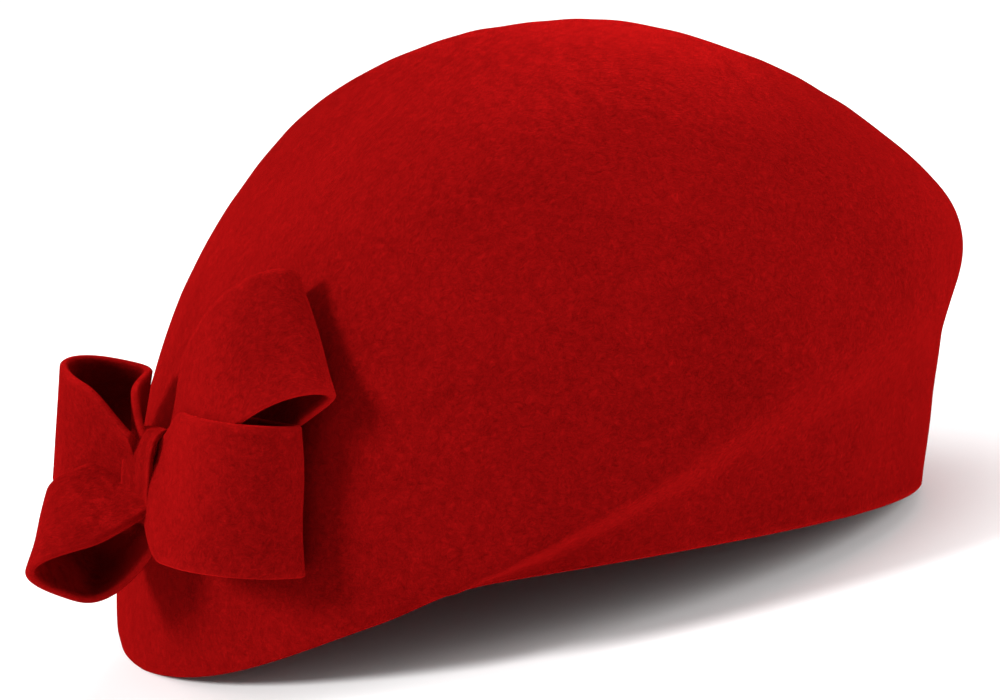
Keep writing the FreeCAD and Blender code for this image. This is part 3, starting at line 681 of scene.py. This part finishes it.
def felt_loop(parts, name, root, seed):
    """Adds one loop as a closed ribbon, pleated where the knot gathers it, and returns its area."""
    middles, sides, widths, gathers, outward = loop_stations(name, root)
    face = unit(np.cross(np.gradient(middles, axis=0), sides))
    shares, insets, heights, cuts = strip_outline().T
    across = shares * widths[:, None] - insets
    waves = np.cos(2.0 * math.pi * PLEATS * shares + PLEAT_PHASE)
    pleats = PLEAT_HIGH * gathers[:, None] ** 1.5 * waves
    sections = (middles[:, None] + sides[:, None] * across[..., None]
                + face[:, None] * heights[:, None] + outward * pleats[..., None])
    uneven = UNEVEN_STRIP * wander(sections, STRIP_WAVE, seed)
    points, faces = ring_strip(sections + face[:, None] * uneven[..., None])
    # The loop's inner face, apart from its cut edges, is marked for painted shade.
    inward = ((middles.mean(0) - middles) * face).sum()
    hollow = (heights * inward > 0.0) & (cuts == 0.0)
    # The cut edge is marked for a painted highlight.
    parts.add(points, faces, cut=np.tile(cuts, LOOP_STATIONS),
              hollow=np.tile(hollow, LOOP_STATIONS))
    return float((np.linalg.norm(np.diff(middles, axis=0), axis=1)
                  * 0.5 * (widths[1:] + widths[:-1])).sum())


def bow():
    """The two strips, each of two loops in one mesh."""
    for node, names, offset, seed in (
            ("bow_front_strip", ("left_front", "right_front"), STRIP_OFFSET, 21),
            ("bow_rear_strip", ("left_rear", "right_rear"), -STRIP_OFFSET, 31)):
        parts = Parts()
        root = KNOT + OUT * offset
        area = sum(felt_loop(parts, name, root, seed + k) for k, name in enumerate(names))
        piece = parts.make(node.replace("strip", "loops"), "bow_felt")
        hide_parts(node)


KNOT_WIDE, KNOT_HIGH, KNOT_DEEP, KNOT_THICK = 12.0, 23.0, 13.0, 1.5
KNOT_AROUND, KNOT_ROWS, KNOT_SQUARE = 96, 25, 3.2
KNOT_WAIST, KNOT_FLARE, KNOT_CREASE = 0.55, 0.25, 0.16
KNOT_EDGE, KNOT_EDGE_FROM = 0.35, 0.86


def knot_wrap():
    """The short felt band round the bow's middle: waisted, with creases running round it."""
    around, rows = KNOT_AROUND, KNOT_ROWS
    v = np.linspace(-1.0, 1.0, rows)
    sections = []
    for a in np.linspace(0.0, 2.0 * math.pi, around, endpoint=False):
        c, s = math.cos(a), math.sin(a)
        r = (abs(c) ** KNOT_SQUARE + abs(s) ** KNOT_SQUARE) ** (-1.0 / KNOT_SQUARE)
        out_dir = unit(UP_BOW * (c / KNOT_HIGH) + OUT * (s / KNOT_DEEP))
        base = KNOT + UP_BOW * (0.5 * KNOT_HIGH * r * c) + OUT * (0.5 * KNOT_DEEP * r * s)
        ring = []
        for k, along in enumerate(v):
            waist = KNOT_FLARE * abs(along) ** 6 - KNOT_WAIST * (1.0 - along ** 2)
            bend = 0.8 * math.sin(2.0 * a + 0.5)
            crease = KNOT_CREASE * math.sin(3.0 * math.pi * along + bend)
            beyond = (abs(along) - KNOT_EDGE_FROM) / (1.0 - KNOT_EDGE_FROM)
            edge = KNOT_EDGE * max(0.0, beyond) ** 2
            ring.append(base + out_dir * (waist + crease - edge) + ALONG * (
                0.5 * KNOT_WIDE * along * (0.94 + 0.05 * math.sin(a + 0.7))))
        for along in (1.0, 0.6, 0.0, -0.6, -1.0):
            ring.append(base - out_dir * (KNOT_THICK - 0.1)
                        + ALONG * (0.5 * KNOT_WIDE * 0.9 * along))
        sections.append(ring)
    sections = np.array(sections)
    cols = sections.shape[1]
    faces = grid_faces(around, cols, wrap_cols=True, wrap_rows=True)
    # The band's cut edges are marked for a painted highlight.
    cut = np.zeros(cols)
    cut[[0, rows - 1]] = 1.0
    cut[[1, rows - 2, rows, cols - 1]] = 0.5
    piece = mesh_object("knot_wrap", sections.reshape(-1, 3), faces, "bow_felt",
                        layers={"cut": np.tile(cut, around)})
    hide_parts("knot_band")


PATCH_RADIUS, PATCH_THICK, PATCH_COLS, PATCH_UNEVEN, PATCH_DISH = 9.0, 1.0, 72, 0.012, 0.14
# Rings of the patch from its inner middle over its edge: share of the radius, share of the
# thickness, and how much of it is cut edge, which carries a painted highlight.
PATCH_RINGS = ((0.0, 0.5, 0.0), (0.35, 0.5, 0.0), (0.7, 0.5, 0.0), (0.93, 0.46, 0.4),
               (1.0, 0.2, 1.0), (1.0, -0.2, 1.0), (0.93, -0.46, 0.4), (0.7, -0.5, 0.0),
               (0.35, -0.5, 0.0), (0.0, -0.5, 0.0))
TACK_WIDE, TACK_HIGH, TACK_RADIUS, TACK_DEEP, TACK_THROUGH = 3.5, 3.0, 0.33, 1.4, 9.5


def stay_patch():
    """The round felt stay inside the crown behind the bow. Returns its centre."""
    low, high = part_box("bow_patch")
    centre = np.array((low + high) / 2.0) / MM - TO_ORIGIN
    cols = PATCH_COLS
    points, cuts = [], []
    for r, n, cut in PATCH_RINGS:
        for j in range(cols if r else 1):
            a = 2.0 * math.pi * j / cols
            reach = PATCH_RADIUS * r * (1.0 + PATCH_UNEVEN * math.sin(5.0 * a + 1.0))
            points.append(centre + ALONG * (reach * math.cos(a)) + UP_BOW * (reach * math.sin(a))
                          - OUT * (PATCH_THICK * n - PATCH_DISH * r * r))
            cuts.append(cut)
    faces = []
    for i in range(len(PATCH_RINGS) - 3):
        for f in grid_faces(2, cols, wrap_cols=True, flip=True):
            faces.append(tuple(1 + i * cols + k for k in f))
    last = len(points) - 1
    for j in range(cols):
        k = (j + 1) % cols
        faces.append((0, 1 + j, 1 + k))
        faces.append((last, last - cols + k, last - cols + j))
    piece = mesh_object("stay_patch", points, faces, "stay_felt", layers={"cut": cuts})
    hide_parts("bow_patch")
    return centre


def tack_threads(centre):
    """The tacking: a cross and two bars on the patch, and four threads out to the knot."""
    parts = Parts()
    stand = OUT * (0.5 * PATCH_THICK + 0.3)
    corners = [ALONG * (x * TACK_WIDE) + UP_BOW * (y * TACK_HIGH)
               for x, y in ((-1.0, -1.0), (1.0, 1.0), (-1.0, 1.0), (1.0, -1.0))]
    for first, last in ((0, 1), (2, 3), (0, 2), (1, 3)):
        start, end = centre - stand + corners[first], centre - stand + corners[last]
        sew(parts, 0.5 * (start + end), unit(end - start), -OUT,
            float(np.linalg.norm(end - start)) + 0.5, TACK_RADIUS, TACK_DEEP)
    for corner in corners:
        path = np.linspace(0.0, 1.0, 9)[:, None] * (OUT * TACK_THROUGH) + centre + corner
        parts.add(*thread(path, TACK_RADIUS))
    threads = parts.make("tack_threads", "thread")
    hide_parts("bow_tack_stitches")


# ------------------------------------------------------------------ materials
class Nodes:
    """Short calls for building a material's nodes."""

    def __init__(self, name):
        self.material = bpy.data.materials.new(name)
        self.material.use_nodes = True
        self.tree = self.material.node_tree
        self.shader = self.tree.nodes["Principled BSDF"]
        self.coords = self.tree.nodes.new("ShaderNodeTexCoord").outputs["Object"]

    def node(self, kind, inputs=None, **settings):
        node = self.tree.nodes.new("ShaderNode" + kind)
        for key, value in settings.items():
            setattr(node, key, value)
        for key, value in (inputs or {}).items():
            self.set(node.inputs[key], value)
        return node

    def set(self, socket, value):
        if isinstance(value, bpy.types.NodeSocket):
            self.tree.links.new(value, socket)
        else:
            socket.default_value = value

    def noise(self, vector, scale, detail=4.0, rough=0.6, distortion=0.0):
        return self.node("TexNoise", {"Vector": vector, "Scale": scale, "Detail": detail,
                                      "Roughness": rough, "Distortion": distortion})

    def mapped(self, vector, scale, rotation=(0.0, 0.0, 0.0)):
        return self.node("Mapping", {"Vector": vector, "Scale": scale,
                                     "Rotation": rotation}).outputs["Vector"]

    def math(self, operation, a, b=0.0, clamp=False):
        node = self.node("Math", operation=operation, use_clamp=clamp)
        self.set(node.inputs[0], a)
        self.set(node.inputs[1], b)
        return node.outputs[0]

    def fit(self, value, low, high, to_low, to_high):
        return self.node("MapRange", {"Value": value, "From Min": low, "From Max": high,
                                      "To Min": to_low, "To Max": to_high}).outputs["Result"]

    def mix(self, share, a, b):
        node = self.node("Mix", data_type="RGBA")
        self.set(node.inputs[0], share)
        self.set(node.inputs[6], a)
        self.set(node.inputs[7], b)
        return node.outputs[2]

    def layer(self, name):
        return self.node("Attribute", attribute_name=name).outputs["Fac"]

    def bump(self, height, strength, distance):
        normal = self.node("Bump", {"Height": height, "Strength": strength,
                                    "Distance": distance}).outputs["Normal"]
        self.set(self.shader.inputs["Normal"], normal)

    def surface(self, **values):
        for key, value in values.items():
            self.set(self.shader.inputs[key.replace("_", " ")], value)


def shade(colour, factor):
    return (colour[0] * factor, colour[1] * factor, colour[2] * factor, 1.0)


# Noise scales and bump distances go by the metre. Fibres run four ways, each a noise drawn out along
# turned axes and bent by up to SWIRL.
FIBRE_TURNS = ((0.3, 0.2, 0.4), (1.2, 0.7, 1.9), (0.6, 1.5, 2.9), (2.1, 0.4, 0.9))
FIBRE_STRETCH = (1.0, 0.16, 0.55)
FIBRE_NOISE, MOTTLE_NOISE = (2600.0, 3.0, 0.66, 0.6), (620.0, 5.0, 0.7, 0.8)
CLOUD_NOISE, SWIRL_NOISE, SWIRL = (42.0, 3.0, 0.5, 0.3), (150.0, 2.0, 0.5), 0.0085
# Shares of the felt's colour in its darkest and palest fibres and in the painted shade inside a
# loop, how far a loop's inner face goes towards that painted shade, and how far a cut edge goes
# towards the palest as a painted highlight.
FELT_DARK, FELT_PALE, PAINTED_SHADE_DARK, PAINTED_SHADE_SHARE, CUT_HIGHLIGHT = 0.56, 1.38, 0.30, 0.65, 0.5
NAP, NAP_ROUGH = 0.5, 0.35


def felt_material(name, colour, tint):
    """Matted wool: swirling fibres over soft mottling, a short nap that catches light, painted shade
    on a loop's inner face and a painted highlight along cut edges.
    """
    m = Nodes(name)
    swirl = m.noise(m.coords, *SWIRL_NOISE)
    bent = m.node("VectorMath", {0: swirl.outputs["Color"], 1: (SWIRL, SWIRL, SWIRL)},
                  operation="MULTIPLY").outputs[0]
    bent = m.node("VectorMath", {0: m.coords, 1: bent}, operation="ADD").outputs[0]
    fibres = []
    for rotation in FIBRE_TURNS:
        stretched = m.mapped(bent, FIBRE_STRETCH, rotation)
        fibres.append(m.noise(stretched, *FIBRE_NOISE).outputs["Fac"])
    strands = m.math("MAXIMUM", m.math("MAXIMUM", fibres[0], fibres[1]),
                     m.math("MAXIMUM", fibres[2], fibres[3]))
    strands = m.fit(strands, 0.50, 0.78, 0.0, 1.0)
    mottle = m.noise(m.coords, *MOTTLE_NOISE).outputs["Fac"]
    cloud = m.noise(m.coords, *CLOUD_NOISE).outputs["Fac"]
    # Painted highlight: cut edges are pushed towards the palest felt.
    cut = m.math("MULTIPLY", m.layer("cut"), CUT_HIGHLIGHT)
    share = m.math("ADD", m.fit(strands, 0.0, 1.0, 0.0, 0.55), m.fit(mottle, 0.32, 0.68, 0.0, 0.45))
    share = m.math("ADD", share, m.fit(cloud, 0.3, 0.7, -0.07, 0.07))
    share = m.math("ADD", share, cut, clamp=True)
    matted = m.mix(share, shade(colour, FELT_DARK), shade(colour, FELT_PALE))
    # Painted shade: a loop's inner face is darkened towards a deep share of the felt's colour.
    loop_painted_shade = m.math("MULTIPLY", m.layer("hollow"), PAINTED_SHADE_SHARE)
    m.surface(Base_Color=m.mix(loop_painted_shade, matted, shade(colour, PAINTED_SHADE_DARK)),
              Roughness=m.fit(mottle, 0.3, 0.7, 0.82, 0.98))
    m.surface(Specular_IOR_Level=0.0, Sheen_Weight=NAP, Sheen_Roughness=NAP_ROUGH,
              Sheen_Tint=(tint[0], tint[1], tint[2], 1.0))
    height = m.math("ADD", m.math("MULTIPLY", strands, 0.7), m.math("MULTIPLY", mottle, 0.5))
    m.bump(height, 0.7, 0.0003)
    return m.material


def grosgrain_material(colour):
    """Silky ribs across the ribbon with a painted highlight on their crests and painted shade
    between them, over fine warp and soft wear.
    """
    m = Nodes("grosgrain")
    rib = m.layer("rib")
    warp = m.noise(m.mapped(m.coords, (1.0, 1.0, 14.0)), 900.0, 3.0, 0.6).outputs["Fac"]
    worn = m.noise(m.coords, 60.0, 3.0, 0.5).outputs["Fac"]
    # Painted light: the rib mark darkens the grooves between ribs and lightens their crests.
    share = m.math("ADD", m.math("MULTIPLY", rib, 0.6), m.fit(warp, 0.35, 0.65, -0.1, 0.4))
    share = m.math("ADD", share, m.fit(worn, 0.3, 0.7, -0.08, 0.08), clamp=True)
    m.surface(Base_Color=m.mix(share, shade(colour, 0.45), shade(colour, 1.25)),
              Roughness=m.fit(warp, 0.3, 0.7, 0.42, 0.62))
    m.surface(Specular_IOR_Level=0.4, Sheen_Weight=0.15, Sheen_Roughness=0.3)
    m.bump(warp, 0.4, 0.00012)
    return m.material


def thread_material(colour):
    """Sewing thread with fine uneven fibres."""
    m = Nodes("thread")
    ply = m.noise(m.coords, 3200.0, 3.0, 0.6).outputs["Fac"]
    m.surface(Base_Color=m.mix(m.fit(ply, 0.35, 0.65, 0.0, 1.0), shade(colour, 0.6),
                               shade(colour, 1.3)),
              Roughness=m.fit(ply, 0.3, 0.7, 0.45, 0.7))
    m.surface(Specular_IOR_Level=0.4, Sheen_Weight=0.2)
    m.bump(ply, 0.5, 0.0001)
    return m.material


def label_material(colour):
    """A plain woven label: fine warp and weft, no marks."""
    m = Nodes("label_cloth")
    weave = []
    for scale in ((5200.0, 0.0, 900.0), (900.0, 0.0, 4300.0)):
        weave.append(m.noise(m.mapped(m.coords, scale), 1.0, 1.0, 0.4).outputs["Fac"])
    both = m.math("MULTIPLY", m.math("ADD", weave[0], weave[1]), 0.5)
    worn = m.noise(m.coords, 140.0, 4.0, 0.6).outputs["Fac"]
    share = m.math("ADD", m.fit(both, 0.4, 0.6, 0.0, 0.8), m.fit(worn, 0.3, 0.7, -0.15, 0.2),
                   clamp=True)
    m.surface(Base_Color=m.mix(share, shade(colour, 0.80), shade(colour, 1.06)),
              Roughness=m.fit(both, 0.4, 0.6, 0.40, 0.6))
    m.surface(Specular_IOR_Level=0.45, Sheen_Weight=0.1)
    m.bump(both, 0.5, 0.00008)
    return m.material


def wire_material():
    """Drawn steel wire."""
    m = Nodes("edge_wire")
    drawn = m.noise(m.coords, 1400.0, 4.0, 0.6).outputs["Fac"]
    m.surface(Base_Color=m.mix(drawn, (0.42, 0.41, 0.40, 1.0), (0.62, 0.61, 0.60, 1.0)),
              Roughness=m.fit(drawn, 0.3, 0.7, 0.28, 0.5))
    m.surface(Metallic=1.0)
    m.bump(drawn, 0.2, 0.00005)
    return m.material


FELT_RED, NAP_RED, STAY_RED = (0.196, 0.0023, 0.0024), (1.0, 0.012, 0.012), (0.24, 0.004, 0.005)
RIBBON_RED, THREAD_RED, LABEL_CREAM = (0.26, 0.006, 0.010), (0.30, 0.006, 0.009), (0.80, 0.77, 0.71)


def paint():
    """Gives every piece its finish by its slot, and the wire that is kept from the CAD its own."""
    finish = {
        "wool_felt": felt_material("wool_felt", FELT_RED, NAP_RED),
        "bow_felt": felt_material("bow_felt", FELT_RED, NAP_RED),
        "stay_felt": felt_material("stay_felt", STAY_RED, NAP_RED),
        "grosgrain": grosgrain_material(RIBBON_RED),
        "thread": thread_material(THREAD_RED),
        "label_cloth": label_material(LABEL_CREAM),
        "edge_wire": wire_material(),
    }
    for piece in bpy.data.objects:
        if piece.type == "MESH" and piece.get("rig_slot"):
            piece.data.materials.clear()
            piece.data.materials.append(finish[piece["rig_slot"]])
    wire = frame["nodes"]["edge_wire"]
    wire.data.materials.clear()
    wire.data.materials.append(finish["edge_wire"])


# ------------------------------------------------------------------ studio and camera
# Places and sizes in metres, angles in degrees, lens and sensor in millimetres.
FLOOR_SIZE, FLOOR_GAP, FLOOR_GREY, WORLD_POWER = 12.0, 0.0002, 0.93, 0.50
KEY_POWER, KEY_ANGLE, KEY_RUNS = 3.7, 16.0, (-0.12, 1.15, -0.72)
# name, place, diameter, power
DISK_LIGHTS = (
    ("top", (0.0, 0.2, 1.35), 0.9, 7.0),
    ("back", (0.6, 1.1, 0.5), 0.8, 13.0),
    ("left", (-0.9, -0.5, 0.6), 0.8, 4.0),
)
LIGHTS_AIM = (0.0, 0.0, 0.06)
LENS, SENSOR = 135.0, 36.0
VIEW_AZ, VIEW_EL, VIEW_ROLL = 74.0, 12.0, -9.6
VIEW_DISTANCE, VIEW_RIGHT, VIEW_UP = 0.91935, -0.00290, 0.00150
VIEW_CENTRE = (0.0, 0.00342, 0.05585)


def studio_floor():
    half = 0.5 * FLOOR_SIZE
    mesh = bpy.data.meshes.new("floor")
    mesh.from_pydata([(-half, -half, 0), (half, -half, 0), (half, half, 0), (-half, half, 0)],
                     [], [(0, 1, 2, 3)])
    floor = bpy.data.objects.new("floor", mesh)
    floor.location = (0.0, 0.0, -FLOOR_GAP)
    bpy.context.scene.collection.objects.link(floor)
    m = Nodes("floor")
    m.surface(Base_Color=(FLOOR_GREY, FLOOR_GREY, FLOOR_GREY, 1.0), Roughness=0.9)
    floor.data.materials.append(m.material)


def lamp(name, kind, power, runs, **settings):
    """A lamp that shines along a direction."""
    data = bpy.data.lights.new(name, kind)
    data.energy = power
    for key, value in settings.items():
        setattr(data, key, value)
    light = bpy.data.objects.new(name, data)
    light.rotation_euler = Vector(runs).to_track_quat("-Z", "Y").to_euler()
    bpy.context.scene.collection.objects.link(light)
    return light


def studio():
    """Pale floor, white world, one soft key from the bow's side and three disks to fill."""
    studio_floor()
    world = bpy.data.worlds.new("studio")
    world.use_nodes = True
    background = world.node_tree.nodes["Background"].inputs
    background["Color"].default_value = (1.0, 1.0, 1.0, 1.0)
    background["Strength"].default_value = WORLD_POWER
    bpy.context.scene.world = world
    lamp("key", "SUN", KEY_POWER, KEY_RUNS, angle=math.radians(KEY_ANGLE))
    for name, place, size, power in DISK_LIGHTS:
        runs = Vector(LIGHTS_AIM) - Vector(place)
        lamp(name, "AREA", power, runs, shape="DISK", size=size).location = place


def camera():
    """A long lens at VIEW_AZ round from the front, rolled, with the picture's middle offset."""
    az, el, roll = (math.radians(a) for a in (VIEW_AZ, VIEW_EL, VIEW_ROLL))
    back = Vector((math.sin(az) * math.cos(el), -math.cos(az) * math.cos(el), math.sin(el)))
    level = (-back).cross(Vector((0, 0, 1))).normalized()
    plumb = level.cross(-back)
    right = level * math.cos(roll) + plumb * math.sin(roll)
    up = plumb * math.cos(roll) - level * math.sin(roll)
    data = bpy.data.cameras.new("camera")
    data.lens = LENS
    data.sensor_width = SENSOR
    data.clip_start = 0.01
    eye = bpy.data.objects.new("camera", data)
    basis = Matrix((right, up, back)).transposed().to_4x4()
    basis.translation = (Vector(VIEW_CENTRE) + back * VIEW_DISTANCE - right * VIEW_RIGHT
                         - up * VIEW_UP)
    eye.matrix_world = basis
    bpy.context.scene.collection.objects.link(eye)
    bpy.context.scene.camera = eye


felt_body()
sweatband()
band_stitches()
size_tag()
ribbon_lap()
label_threads(*care_tag())
knot_wrap()
bow()
tack_threads(stay_patch())
paint()
studio()
camera()
bpy.context.scene.view_settings.view_transform = "Standard"
